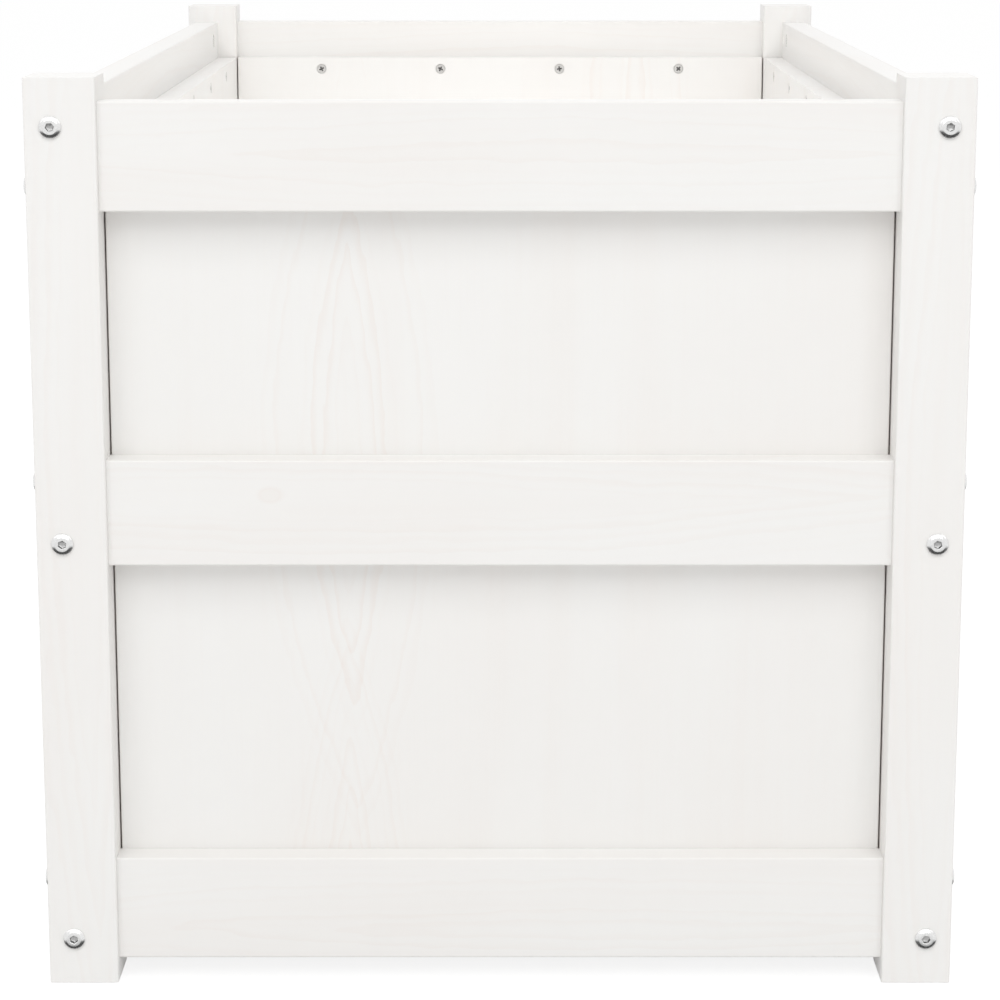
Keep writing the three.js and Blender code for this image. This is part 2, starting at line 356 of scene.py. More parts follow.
def ring_figure(finish, spot, heart, middle, half_length, half_width):
    """Late-wood lines of rings that only graze the face: nested flames, pointed at both ends."""
    across, through, along = spot
    bend = finish.noise(finish.combine(heart * HEARTS_APART, 0.0, along), HEART_BEND_SCALE, 1.0)
    bend = finish.product(finish.math("SUBTRACT", bend, 0.5), HEART_WANDER)
    aside = finish.math("ADD", finish.math("SUBTRACT", across, heart), bend)
    aside = finish.math("SQRT", finish.math("MULTIPLY_ADD", aside, aside, TIP_ROUNDING**2))
    rise = finish.math("DIVIDE", finish.math("SUBTRACT", along, middle), half_length)
    size = finish.math("ADD", finish.math("DIVIDE", aside, half_width), finish.product(rise, rise))
    size = finish.math("MULTIPLY_ADD", through, RING_SHIFT, size)
    stretched = finish.product(across, RAG_STRETCH)
    ragged = finish.noise(finish.combine(stretched, 0.0, along), RAG_SCALE)
    size = finish.math("MULTIPLY_ADD", ragged, RAG_DEPTH, size)
    count = finish.product(size, RINGS_PER_WIDTH)
    ring = finish.math("FRACT", count)
    line = finish.product(finish.fade(ring, *RING_GROWS), finish.fade(ring, *RING_STOPS))
    strength = finish.noise(finish.combine(count, heart * RINGS_APART, 0.0), FAINTNESS_SCALE, 1.0)
    line = finish.product(line, finish.fade(strength, *FAINTNESS))
    return finish.product(line, finish.fade(size, *FIGURE_FADES))


# Knots: how far they stretch along the grain, then their body and rim, in radii and in strength.
KNOT_STRETCH = 1.5
KNOT_BODY = (1.15, 0.75)
KNOT_BODY_STRENGTH = 0.6
KNOT_RIM_INSIDE = (0.7, 0.95)
KNOT_RIM_OUTSIDE = (1.5, 1.0)
KNOT_RIM_STRENGTH = 0.5


def knot_mark(finish, spot, along_place, across_place, radius):
    """A knot that shows through the paint as a faint oval with a darker rim."""
    across, _, along = spot
    x = finish.math("DIVIDE", finish.math("SUBTRACT", along, along_place), radius * KNOT_STRETCH)
    y = finish.math("DIVIDE", finish.math("SUBTRACT", across, across_place), radius)
    distance = finish.math("SQRT", finish.math("ADD", finish.product(x, x), finish.product(y, y)))
    body = finish.fade(distance, *KNOT_BODY, 0.0, KNOT_BODY_STRENGTH)
    inside = finish.fade(distance, *KNOT_RIM_INSIDE)
    rim = finish.product(inside, finish.fade(distance, *KNOT_RIM_OUTSIDE))
    return finish.math("ADD", body, finish.product(rim, KNOT_RIM_STRENGTH))


# Noise in the wood and its paint: how far the grain is shortened for it, which draws it out there,
# and its scale, detail and roughness.
GRAIN = {
    "fibres": (0.02, 520.0, 3.0, 0.6),
    "streaks": (0.06, 42.0, 2.0, 0.5),
    "clouds": (0.35, 9.0, 1.0, 0.5),
    "film": (1.0, 900.0, 1.0, 0.5),
}
SAWN_GRAIN = (0.05, 300.0, 4.0, 0.6)

# The layers that shade the paint: where each sets in, where it is full, and its strength.
GRAIN_SHADES = {
    "streaks": (0.46, 0.78, 0.12),
    "clouds": (0.42, 0.66, 0.10),
    "fibres": (0.45, 0.75, 0.045),
}
KNOT_SHADE = 0.32
BOARD_FIGURE_SHADE = 0.30
TIMBER_FIGURE_SHADE = 0.16

# The paint's relief: the shares of the fibres, of a figure's lines and of the film itself, and its
# strength and height. Its sheen varies with the streaks, on both sides of the set roughness.
FIBRE_RIDGE = 0.5
FIGURE_RIDGE = 0.4
FILM_RIDGE = 0.25
PAINT_RELIEF = (0.35, 0.00012)
PAINT_SHEEN_SPREAD = 0.16


def grain_layer(finish, spot, shortening, scale, detail, roughness):
    """Noise that is drawn out along the grain."""
    across, through, along = spot
    point = finish.combine(across, through, finish.product(along, shortening))
    return finish.noise(point, scale, detail, roughness)


def painted_wood(name, centre, grain, face, figures, figure_shade):
    """Satin white paint over softwood: the grain shows as faint streaks, arches and ridges."""
    colours = bpy.context.scene.planter.paint
    finish = Finish(f"paint_{name}", colours.roughness)
    spot = finish.place(centre, grain, face)
    layers = {layer: grain_layer(finish, spot, *values) for layer, values in GRAIN.items()}
    shade = 0.0
    for layer, (start, end, strength) in GRAIN_SHADES.items():
        shade = finish.math("MULTIPLY_ADD", finish.fade(layers[layer], start, end), strength, shade)
    ridges = finish.product(layers["fibres"], FIBRE_RIDGE)
    for figure in figures:
        lines = ring_figure(finish, spot, *figure)
        shade = finish.math("MULTIPLY_ADD", lines, figure_shade, shade)
        ridges = finish.math("MULTIPLY_ADD", lines, FIGURE_RIDGE, ridges)
    for knot in KNOTS.get(name, ()):
        shade = finish.math("MULTIPLY_ADD", knot_mark(finish, spot, *knot), KNOT_SHADE, shade)
    shade = finish.math("MINIMUM", shade, 1.0)
    finish.colour(finish.mix(shade, colours.paint, colours.paint_shade))
    glossiest = colours.roughness - PAINT_SHEEN_SPREAD / 2
    finish.gloss(finish.math("MULTIPLY_ADD", layers["streaks"], PAINT_SHEEN_SPREAD, glossiest))
    finish.bump(finish.math("MULTIPLY_ADD", layers["film"], FILM_RIDGE, ridges), *PAINT_RELIEF)
    return finish.material


SAWN_ROUGHNESS = 0.85
SAWN_DARKENING = 0.6
SAWN_RELIEF = (0.4, 0.0002)


def edge_paint_and_slot_shade():
    """Thin tan paint on the sawn side edges of the wall boards, partly painted shade that darkens
    and browns the slots beside the posts.
    """
    colour = bpy.context.scene.planter.paint.board_edge
    finish = Finish("raw_board_edge", SAWN_ROUGHNESS)
    fibres = grain_layer(finish, finish.place((0, 0, 0), "Z", "Y"), *SAWN_GRAIN)
    finish.colour(finish.mix(fibres, colour, darker(colour, SAWN_DARKENING)))
    finish.bump(fibres, *SAWN_RELIEF)
    return finish.material


# Steel finishes: the share of the zinc's light that each gives back, and its roughness. The socket
# and recess finishes are painted shade: zinc darkened inside the hollows of bolt and screw heads.
STEELS = {
    "bright_zinc": (1.0, 0.24),
    "dull_socket": (0.6, 0.35),
    "screw_steel": (1.0, 0.34),
    "worn_recess": (0.35, 0.5),
}

# The scale and detail of the steel's blotches, how much they darken it and spread its sheen, and
# their relief.
BLOTCHES = (900.0, 3.0)
BLOTCH_DARKENING = 0.82
STEEL_SHEEN_SPREAD = 0.14
STEEL_RELIEF = (0.15, 0.00005)


def plated_steel(name, zinc):
    """Zinc plate with fine blotches in its sheen."""
    share, roughness = STEELS[name]
    colour = darker(zinc, share)
    finish = Finish(name, roughness, metallic=1.0)
    coordinates = finish.nodes.new("ShaderNodeTexCoord")
    blotches = finish.noise(coordinates.outputs["Object"], *BLOTCHES)
    finish.colour(finish.mix(blotches, colour, darker(colour, BLOTCH_DARKENING)))
    glossiest = roughness - STEEL_SHEEN_SPREAD / 2
    finish.gloss(finish.math("MULTIPLY_ADD", blotches, STEEL_SHEEN_SPREAD, glossiest))
    finish.bump(blotches, *STEEL_RELIEF)
    return finish.material


# Meshes and pieces


def mesh_from(name, bm):
    mesh = bpy.data.meshes.new(name)
    bm.to_mesh(mesh)
    bm.free()
    return mesh


def new_object(name, data):
    """An object in the scene that shows a mesh, a light or a camera."""
    item = bpy.data.objects.new(name, data)
    bpy.context.scene.collection.objects.link(item)
    return item


# Edges that turn by more than this stay sharp.
SHARP_TURN = math.radians(40.0)
SHARP_BOLT_TURN = math.radians(30.0)


def add_piece(name, mesh, materials, stands_for=None, sharp_turn=SHARP_TURN):
    """Adds a finished piece to the object, smooth but for its sharp edges."""
    for material in materials:
        mesh.materials.append(material)
    mesh.polygons.foreach_set("use_smooth", [True] * len(mesh.polygons))
    mesh.set_sharp_from_angle(angle=sharp_turn)
    piece = new_object(name, mesh)
    weighted = piece.modifiers.new("weighted_normals", "WEIGHTED_NORMAL")
    weighted.keep_sharp = True
    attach(piece, "root")
    if stands_for:
        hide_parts(stands_for)


def cut(mesh, cutter_mesh):
    """The mesh with the cutter's solids taken out of it."""
    wood = new_object("wood", mesh)
    cutter = new_object("cutter", cutter_mesh)
    modifier = wood.modifiers.new("cut", "BOOLEAN")
    modifier.operation = "DIFFERENCE"
    modifier.solver = "EXACT"
    modifier.object = cutter
    depsgraph = bpy.context.evaluated_depsgraph_get()
    carved = bpy.data.meshes.new_from_object(wood.evaluated_get(depsgraph))
    bpy.data.objects.remove(wood)
    bpy.data.objects.remove(cutter)
    return carved


def aim(origin, way):
    """Turns Z the given way and puts the origin there."""
    turn = Vector((0, 0, 1)).rotation_difference(Vector(way)).to_matrix().to_4x4()
    return Matrix.Translation(origin) @ turn


def rod(bm, radius, start, end, steps):
    """A closed round bar from start to end."""
    way = Vector(end) - Vector(start)
    bmesh.ops.create_cone(
        bm,
        cap_ends=True,
        segments=steps,
        radius1=radius,
        radius2=radius,
        depth=way.length,
        matrix=aim((Vector(start) + Vector(end)) / 2, way),
    )


def block(size):
    """A box round the origin."""
    bm = bmesh.new()
    bmesh.ops.create_cube(bm, size=1.0)
    bmesh.ops.scale(bm, vec=size, verts=bm.verts)
    return bm


# Points nearer than this count as one.
TOUCH = 1e-6


def spin_outline(bm, outline, steps):
    """Turns an outline of (radius, height) points about Z."""
    verts = [bm.verts.new((radius, 0.0, height)) for radius, height in outline]
    edges = [bm.edges.new(pair) for pair in zip(verts, verts[1:])]
    bmesh.ops.spin(
        bm,
        geom=verts + edges,
        cent=(0, 0, 0),
        axis=(0, 0, 1),
        angle=2 * math.pi,
        steps=steps,
        use_merge=True,
    )
    bmesh.ops.remove_doubles(bm, verts=bm.verts, dist=TOUCH)


def round_edges(bm, edges, radius, steps):
    bmesh.ops.bevel(
        bm,
        geom=edges,
        offset=radius,
        offset_type="OFFSET",
        affect="EDGES",
        segments=steps,
        profile=0.5,
        material=-1,
    )


END_STEPS = 2


def timber(low, high, grain, arris, ease, steps):
    """A planed length of wood that fills a box, its long edges rounded and its ends eased."""
    axis = AXES[grain]
    bm = block(high - low)
    bmesh.ops.translate(bm, vec=(low + high) / 2, verts=bm.verts)
    ends = (low[axis], high[axis])

    def at_end(edge, end):
        return all(abs(vert.co[axis] - end) < TOUCH for vert in edge.verts)

    long_edges = [edge for edge in bm.edges if not any(at_end(edge, end) for end in ends)]
    round_edges(bm, long_edges, arris, steps)
    for end in ends:
        round_edges(bm, [edge for edge in bm.edges if at_end(edge, end)], ease, END_STEPS)
    return bm


def node_size(node):
    low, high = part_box(node)
    low, high = Vector(low), Vector(high)
    return low, high, (low + high) / 2


def add_wood(node, bm, cutters, grain, face, figures, figure_shade=TIMBER_FIGURE_SHADE, edges=()):
    """Takes the cutters out of a piece of wood, paints it and puts it in its node's place."""
    mesh = cut(mesh_from(node, bm), mesh_from("cutters", cutters))
    paint = painted_wood(node, node_size(node)[2], grain, face, figures, figure_shade)
    add_piece(f"painted_{node}", mesh, [paint, *edges], node)


def seat(origin, out, side):
    """Places a fastener: its own Z points out of the wood and its own X to the side."""
    z = Vector(out).normalized()
    x = Vector(side).normalized()
    turn = Matrix((x, z.cross(x), z)).transposed().to_4x4()
    return Matrix.Translation(origin) @ turn


def copies(master, places):
    """One mesh that holds a copy of the master at each place."""
    bm = bmesh.new()
    for place in places:
        first = len(bm.verts)
        bm.from_mesh(master)
        bm.verts.ensure_lookup_table()
        bmesh.ops.transform(bm, matrix=place, verts=bm.verts[first:])
    return bm


# Bolts and barrel nuts

# Fine sizes of bolts, nuts and bores that aren't settings.
BOLT_PAST_NUT = 0.003
BORE_PAST_END = 0.001
SOCKET_LEAD_IN = 0.0002
DRILL_POINT = 0.0011
SHOULDER_SLOPE = math.radians(15.0)
RIM_EASE = 0.0001
TIP_CHAMFER = 0.0008
NUT_EDGE = 0.0004
NUT_SLOT_DEPTH = 0.0012
CUT_OVERRUN = 0.002

# Facets of round things.
BORE_STEPS = 32
HEAD_STEPS = 48
SHOULDER_STEPS = 7
NUT_EDGE_STEPS = 2

# The socket's walls take the painted shade up to this distance from the axis, in widths of the
# socket.
SOCKET_SHADE_REACH = 0.55

# Each bolt, and each screw of a group, is turned this much further than the one before.
BOLT_TURN = math.radians(23.0)
SCREW_TURN = math.radians(37.0)


class BoltPlace:
    """Where one bolt runs, read from its node, its post and its rail."""

    def __init__(self, wall, level, end):
        run = AXES[WALLS[wall]["run"]]
        self.label = f"{wall}_{level}_{end}"
        self.node = f"bolt_{self.label}"
        self.corner = f"{wall}_{end}" if end in SIDES else f"{end}_{wall}"
        self.out = Vector(WALLS[wall]["ends"][end])
        self.inward = -Vector(WALLS[wall]["out"])
        rail_low, rail_high, rail_middle = node_size(f"rail_{wall}_{level}")
        low, high, middle = node_size(self.node)
        post_low, post_high, _ = node_size(f"post_{self.corner}")
        outwards = self.out[run] > 0
        rail_middle.z = middle.z
        self.head = rail_middle.copy()
        self.head[run] = post_high[run] if outwards else post_low[run]
        self.tip = rail_middle.copy()
        self.tip[run] = low[run] if outwards else high[run]
        nut_radius = bpy.context.scene.planter.bolts.nut_diameter / 2
        nut = self.tip + self.out * (nut_radius + BOLT_PAST_NUT)
        self.nut_end = nut + self.inward * (abs((rail_high - rail_low).dot(self.inward)) / 2)


def bolt_places():
    return [
        BoltPlace(wall, level, end)
        for wall, facts in WALLS.items()
        for level in LEVELS
        for end in facts["ends"]
    ]


def bolt_outline(settings, length):
    """The bolt's outline from the flat of its head, over a round shoulder, down to its tip."""
    flat = settings.head_flat / 2
    half = settings.head_diameter / 2
    shank = settings.shank / 2
    start = SHOULDER_SLOPE
    end = 2 * math.atan2(settings.head_height - settings.head_rim, half - flat) - start
    curve = (half - flat) / (math.sin(end) - math.sin(start))
    outline = [(flat, settings.head_height)]
    for step in range(1, SHOULDER_STEPS + 1):
        angle = start + (end - start) * step / SHOULDER_STEPS
        radius = flat + curve * (math.sin(angle) - math.sin(start))
        outline.append((radius, settings.head_rim + curve * (math.cos(angle) - math.cos(end))))
    outline += [(half, RIM_EASE), (half - RIM_EASE, 0.0), (shank, 0.0)]
    outline += [(shank, TIP_CHAMFER - length), (shank - TIP_CHAMFER, -length), (0.0, -length)]
    return outline


def hexagon_reach(angle, across_flats):
    """From the middle of a hexagon out to its side, in one direction."""
    return across_flats / 2 / math.cos(angle % (math.pi / 3) - math.pi / 6)


def bolt_master(settings, length):
    """A button-head bolt with a hex socket, standing on the underside of its head."""
    bm = bmesh.new()
    spin_outline(bm, bolt_outline(settings, length), HEAD_STEPS)
    rim = [edge for edge in bm.edges if edge.is_boundary]
    flat = bmesh.ops.contextual_create(bm, geom=rim)["faces"]
    bmesh.ops.recalc_face_normals(bm, faces=bm.faces)
    bmesh.ops.inset_region(bm, faces=flat, thickness=(settings.head_flat - settings.socket) / 2)
    mouth = flat[0]
    wide = settings.socket + 2 * SOCKET_LEAD_IN
    for vert in mouth.verts:
        reach = hexagon_reach(math.atan2(vert.co.y, vert.co.x), wide)
        vert.co.xy = vert.co.xy.normalized() * reach
    steps = ((SOCKET_LEAD_IN, settings.socket / wide), (settings.socket_depth - SOCKET_LEAD_IN, 1.0))
    for drop, scale in steps:
        mouth = bmesh.ops.extrude_discrete_faces(bm, faces=[mouth])["faces"][0]
        bmesh.ops.scale(bm, vec=(scale, scale, 1.0), verts=mouth.verts)
        bmesh.ops.translate(bm, vec=(0, 0, -drop), verts=mouth.verts)
    bmesh.ops.poke(bm, faces=[mouth], offset=-DRILL_POINT)
    # Faces deep in the hex socket take the darker zinc: painted shade in the socket.
    for side in bm.faces:
        middle = side.calc_center_median()
        inside = -settings.socket_depth < middle.z < settings.head_height - SOCKET_LEAD_IN
        side.material_index = int(inside and middle.xy.length < settings.socket * SOCKET_SHADE_REACH)
    return mesh_from("bolt_master", bm)


def nut_master(settings):
    """A barrel nut along X, its slotted end at the origin."""
    bm = bmesh.new()
    rod(bm, settings.nut_diameter / 2, (-settings.nut_length, 0, 0), (0, 0, 0), HEAD_STEPS)
    rims = [edge for edge in bm.edges if abs(edge.verts[0].co.x - edge.verts[1].co.x) < TOUCH]
    round_edges(bm, rims, NUT_EDGE, NUT_EDGE_STEPS)
    slot = block((2 * NUT_SLOT_DEPTH, settings.nut_diameter + CUT_OVERRUN, settings.nut_slot))
    return cut(mesh_from("nut", bm), mesh_from("slot", slot))


# Countersunk screws

SCREW_STEPS = 24
SCREW_RIM = 0.0004
SCREW_CLEARANCE = 0.00025
SCREW_HOLE_PAST_END = 0.001
RECESS_ARM = 0.0014
RECESS_REACH = 0.0046
RECESS_DEPTH = 0.0026
RECESS_TAPER = 0.7
RECESS_MARGIN = 1e-5


def screw_master(settings):
    """A countersunk screw along -Z with a cross recess in its head."""
    half = settings.head_diameter / 2
    shank = settings.shank / 2
    cone = half - shank
    bm = bmesh.new()
    length = settings.length
    outline = [(0.0, 0.0), (half - SCREW_RIM / 2, 0.0), (half, -SCREW_RIM / 2), (half, -SCREW_RIM)]
    outline += [(shank, -SCREW_RIM - cone), (shank, 2 * shank - length), (0.0, -length)]
    spin_outline(bm, outline, SCREW_STEPS)
    bmesh.ops.recalc_face_normals(bm, faces=bm.faces)
    solid = mesh_from("screw", bm)
    for size in ((RECESS_REACH, RECESS_ARM), (RECESS_ARM, RECESS_REACH)):
        cutter = block((*size, 2 * RECESS_DEPTH))
        deep = [vert for vert in cutter.verts if vert.co.z < 0]
        bmesh.ops.scale(cutter, vec=(RECESS_TAPER, RECESS_TAPER, 1.0), verts=deep)
        solid = cut(solid, mesh_from("recess", cutter))
    # Faces deep in the cross recess take the darker zinc: painted shade in the recess.
    for side in solid.polygons:
        inside = side.center.xy.length < RECESS_REACH / 2
        below = -RECESS_DEPTH - RECESS_MARGIN < side.center.z < -RECESS_MARGIN
        side.material_index = int(inside and below)
    return solid


def spread(first, last, count):
    return [first + (last - first) * index / (count - 1) for index in range(count)]


def board_screw_places(wall):
    """Screws through a wall board into its three rails: a row behind each rail."""
    screws = bpy.context.scene.planter.screws
    facts = WALLS[wall]
    run = AXES[facts["run"]]
    inward = -Vector(facts["out"])
    low, high, middle = node_size(f"panel_{wall}")
    rail_low, rail_high, rail_middle = node_size(f"rail_{wall}_middle")
    long_wall = facts["run"] == "Y"
    inset = screws.long_inset if long_wall else screws.short_inset
    count = screws.long_count if long_wall else screws.short_count
    heights = (low.z + screws.board_margin, rail_middle.z, high.z - screws.board_margin)
    places = []
    for height in heights:
        for along in spread(rail_low[run] + inset, rail_high[run] - inset, count):
            place = middle.copy()
            place[run] = along
            place.z = height
            place += inward * abs((high - low).dot(inward)) / 2
            places.append((place, inward))
    return places


def slat_screw_places(number):
    """Two screws through each end of a slat into the bearer below it."""
    screws = bpy.context.scene.planter.screws
    low, high, middle = node_size(f"floor_slat_{number}")
    places = []
    for bearer in SIDES:
        bearer_low, bearer_high, _ = node_size(f"floor_bearer_{bearer}")
        x = (max(low.x, bearer_low.x) + min(high.x, bearer_high.x)) / 2
        for offset in (-screws.slat_spread / 2, screws.slat_spread / 2):
            places.append((Vector((x, middle.y + offset, high.z)), Vector((0, 0, 1))))
    return places


def bearer_screw_places(side):
    """Screws along a bearer into the bottom rail beside it."""
    screws = bpy.context.scene.planter.screws
    low, high, middle = node_size(f"floor_bearer_{side}")
    inward = -Vector(WALLS[side]["out"])
    x = high.x if inward.x > 0 else low.x
    first, last = low.y + screws.short_inset, high.y - screws.short_inset
    return [(Vector((x, y, middle.z)), inward) for y in spread(first, last, screws.bearer_count)]


def screw_matrices(places):
    """Each screw is sunk a little and stopped at its own turn."""
    screws = bpy.context.scene.planter.screws
    matrices = []
    for index, (place, out) in enumerate(places):
        side = Vector((0, 0, 1)) if abs(out.z) < 0.5 else Vector((1, 0, 0))
        turn = Matrix.Rotation(SCREW_TURN * index, 4, "Z")
        matrices.append(seat(place - out * screws.sink, out, side) @ turn)
    return matrices


def countersinks(places):
    """Cutters for the heads and shanks of screws."""
    screws = bpy.context.scene.planter.screws
    half = screws.head_diameter / 2 + SCREW_CLEARANCE
    shank = screws.shank / 2 + SCREW_CLEARANCE
    collar = -screws.sink - SCREW_RIM
    foot = -screws.length - SCREW_HOLE_PAST_END
    outline = [(0.0, CUT_OVERRUN), (half, CUT_OVERRUN), (half, collar)]
    outline += [(shank, collar + shank - half), (shank, foot), (0.0, foot)]
    single = bmesh.new()
    spin_outline(single, outline, SCREW_STEPS)
    bmesh.ops.recalc_face_normals(single, faces=single.faces)
    return copies(mesh_from("countersink", single), [aim(place, out) for place, out in places])


def screw_group(name, master, places, materials):
    """A row or field of screws as one piece, each a copy of the master."""
    bm = copies(master, screw_matrices(places))
    add_piece(name, mesh_from(name, bm), materials)


# Operators

# How far a rail's ends and a board's outer face reach into their joint lines, to meet the wood.
JOINT_CLOSING = 0.00009

BOARD_ARRIS_STEPS = 3

# Faces of a board whose normals reach this far along the wall are its side edges.
SIDEWAYS = 0.9


class PLANTER_OT_posts(bpy.types.Operator):
    """Corner posts with rounded arrises and a bore for each bolt"""

    bl_idname = "planter.posts"
    bl_label = "Corner posts"

    def execute(self, context):
        sizes = context.scene.planter.timber
        bolts = context.scene.planter.bolts
        radius = bolts.shank / 2 + bolts.bore_clearance
        places = bolt_places()
        for corner in CORNERS:
            node = f"post_{corner}"
            low, high, middle = node_size(node)
            bm = timber(low, high, "Z", sizes.post_arris, sizes.post_end_ease, sizes.arris_steps)
            cutters = bmesh.new()
            for bolt in (bolt for bolt in places if bolt.corner == corner):
                start = bolt.head + bolt.out * CUT_OVERRUN
                end = bolt.head - bolt.out * (high.x - low.x + CUT_OVERRUN)
                rod(cutters, radius, start, end, BORE_STEPS)
            reach, along_x, along_y = POST_WAVE
            shift = reach * math.sin(along_x * middle.x + along_y * middle.y)
            add_wood(node, bm, cutters, "Z", "Y", ((POST_HEART, shift, *POST_FIGURE_SIZE),))
        return {"FINISHED"}


class PLANTER_OT_rails(bpy.types.Operator):
    """Rails with rounded arrises, bored at their ends for the bolts and barrel nuts"""

    bl_idname = "planter.rails"
    bl_label = "Rails"

    def execute(self, context):
        for wall in WALLS:
            for level in LEVELS:
                self.add_rail(context, wall, level)
        return {"FINISHED"}

    def add_rail(self, context, wall, level):
        sizes = context.scene.planter.timber
        facts = WALLS[wall]
        grain = facts["run"]
        node = f"rail_{wall}_{level}"
        low, high, _ = node_size(node)
        low[AXES[grain]] -= JOINT_CLOSING
        high[AXES[grain]] += JOINT_CLOSING
        bm = timber(low, high, grain, sizes.rail_arris, sizes.cut_end_ease, sizes.arris_steps)
        cutters = bmesh.new()
        for end in facts["ends"]:
            self.add_bores(cutters, context.scene.planter.bolts, BoltPlace(wall, level, end))
        heart, middle = RAIL_FIGURES[level]
        middle *= LONG_WALL_STRETCH if grain == "Y" else 1
        figures = ((heart, middle, *RAIL_FIGURE_SIZE),)
        add_wood(node, bm, cutters, grain, FACE_AXIS[grain], figures)

    def add_bores(self, cutters, bolts, bolt):
        """Cutters for one bolt and its nut."""
        radius = bolts.shank / 2 + bolts.bore_clearance
        rod(cutters, radius, bolt.head, bolt.tip - bolt.out * BORE_PAST_END, BORE_STEPS)
        radius = bolts.nut_diameter / 2 + bolts.bore_clearance
        mouth = bolt.nut_end + bolt.inward * CUT_OVERRUN
        bottom = bolt.nut_end - bolt.inward * (bolts.nut_length + BORE_PAST_END)
        rod(cutters, radius, mouth, bottom, BORE_STEPS)


class PLANTER_OT_boards(bpy.types.Operator):
    """Upright-grained wall boards, with thin tan paint along their side edges, partly painted shade
    for the slots beside the posts
    """

    bl_idname = "planter.boards"
    bl_label = "Wall boards"

    def execute(self, context):
        arris = context.scene.planter.timber.board_arris
        edges = [edge_paint_and_slot_shade()]
        for wall, facts in WALLS.items():
            node = f"panel_{wall}"
            low, high, _ = node_size(node)
            outer = high if sum(facts["out"]) > 0 else low
            outer += JOINT_CLOSING * Vector(facts["out"])
            bm = timber(low, high, "Z", arris, arris / 2, BOARD_ARRIS_STEPS)
            # The side edges that face the slots take the tan edge finish, partly painted shade in
            # those slots.
            for side in bm.faces:
                side.material_index = int(abs(side.normal[AXES[facts["run"]]]) > SIDEWAYS)
            holes = countersinks(board_screw_places(wall))
            face = FACE_AXIS[facts["run"]]
            add_wood(node, bm, holes, "Z", face, BOARD_FIGURES[wall], BOARD_FIGURE_SHADE, edges)
        return {"FINISHED"}


class PLANTER_OT_floor(bpy.types.Operator):
    """Bearers along the long walls, and the slats that lie across them"""

    bl_idname = "planter.floor"
    bl_label = "Floor bearers and slats"

    def execute(self, context):
        for side in SIDES:
            self.lay(context, f"floor_bearer_{side}", "Y", "X", bearer_screw_places(side))
        for number in self.slat_numbers():
            self.lay(context, f"floor_slat_{number}", "X", "Z", slat_screw_places(number))
        return {"FINISHED"}

    @staticmethod
    def slat_numbers():
        return range(1, 1 + sum(node.startswith("floor_slat_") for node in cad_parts))

    def lay(self, context, node, grain, face, places):
        sizes = context.scene.planter.timber
        low, high, middle = node_size(node)
        bm = timber(low, high, grain, sizes.floor_arris, sizes.cut_end_ease, sizes.arris_steps)
        (aside, quick), (along, slow) = FLOOR_WAVES
        heart = aside * math.sin(quick * middle.y)
        figures = ((heart, along * math.cos(slow * middle.y), *FLOOR_FIGURE_SIZE),)
        add_wood(node, bm, countersinks(places), grain, face, figures)


class PLANTER_OT_bolts(bpy.types.Operator):
    """Button-head bolts through the posts, and the barrel nuts they screw into"""

    bl_idname = "planter.bolts"
    bl_label = "Bolts and barrel nuts"

    def execute(self, context):
        settings = context.scene.planter.bolts
        colour = context.scene.planter.paint.zinc
        # The second finish is zinc darkened as painted shade inside the hex sockets.
        steels = [plated_steel("bright_zinc", colour), plated_steel("dull_socket", colour)]
        places = bolt_places()
        bolt = bolt_master(settings, (places[0].head - places[0].tip).length)
        nut = nut_master(settings)
        for index, place in enumerate(places):
            turn = Matrix.Rotation(BOLT_TURN * index, 4, "Z")
            name = f"hex_bolt_{place.label}"
            mesh = mesh_from(name, copies(bolt, [seat(place.head, place.out, place.inward) @ turn]))
            add_piece(name, mesh, steels, place.node, SHARP_BOLT_TURN)
            name = f"barrel_nut_{place.label}"
            mesh = mesh_from(name, copies(nut, [seat(place.nut_end, place.out, place.inward)]))
            add_piece(name, mesh, steels[:1], None, SHARP_BOLT_TURN)
        return {"FINISHED"}


class PLANTER_OT_screws(bpy.types.Operator):
    """Countersunk screws in the wall boards, the slats and the bearers"""

    bl_idname = "planter.screws"
    bl_label = "Screws"

    def execute(self, context):
        colour = context.scene.planter.paint.screw_steel
        # The second finish is zinc darkened as painted shade inside the cross recesses.
        steels = [plated_steel("screw_steel", colour), plated_steel("worn_recess", colour)]
        master = screw_master(context.scene.planter.screws)
        for wall in WALLS:
            screw_group(f"board_screws_{wall}", master, board_screw_places(wall), steels)
        for side in SIDES:
            screw_group(f"bearer_screws_{side}", master, bearer_screw_places(side), steels)
        for number in PLANTER_OT_floor.slat_numbers():
            screw_group(f"slat_screws_{number}", master, slat_screw_places(number), steels)
        return {"FINISHED"}


# Lights: the setting that holds the power of each, its size and its place. All face one point.
LIGHTS = {
    "front_light": ("front_power", (4.6, 2.6), (0.0, -3.0, 2.9)),
    "rear_light": ("rear_power", (4.0, 2.4), (0.0, 3.0, 2.9)),
    "left_light": ("side_power", (4.0, 2.4), (-3.0, 0.0, 2.9)),
    "right_light": ("side_power", (4.0, 2.4), (3.0, 0.0, 2.9)),
    "top_light": ("top_power", (2.0, 2.0), (0.0, 0.0, 2.2)),
}
LIT_POINT = Vector((0.0, 0.0, 0.3))

# Soft bulbs that lift the inside of the walls: where they hang, and their radius.
BULB_PLACES = ((0.0, -0.22, 0.30), (0.0, 0.0, 0.30), (0.0, 0.22, 0.30))
BULB_RADIUS = 0.08

# The floor's grey in the light itself, its grey to the eye, and the glow that whitens the latter.
FLOOR_GREY = (0.9, 0.9, 0.9, 1.0)
SEEN_FLOOR_GREY = (0.25, 0.25, 0.25, 1.0)
FLOOR_GLOW = 0.842

# The backdrop dims straight down, from one height of a ray to the next, and is white elsewhere.
WHITE = (1.0, 1.0, 1.0, 1.0)
BACKDROP = {"From Min": -0.52, "From Max": -0.34, "To Min": 0.09, "To Max": 1.0}


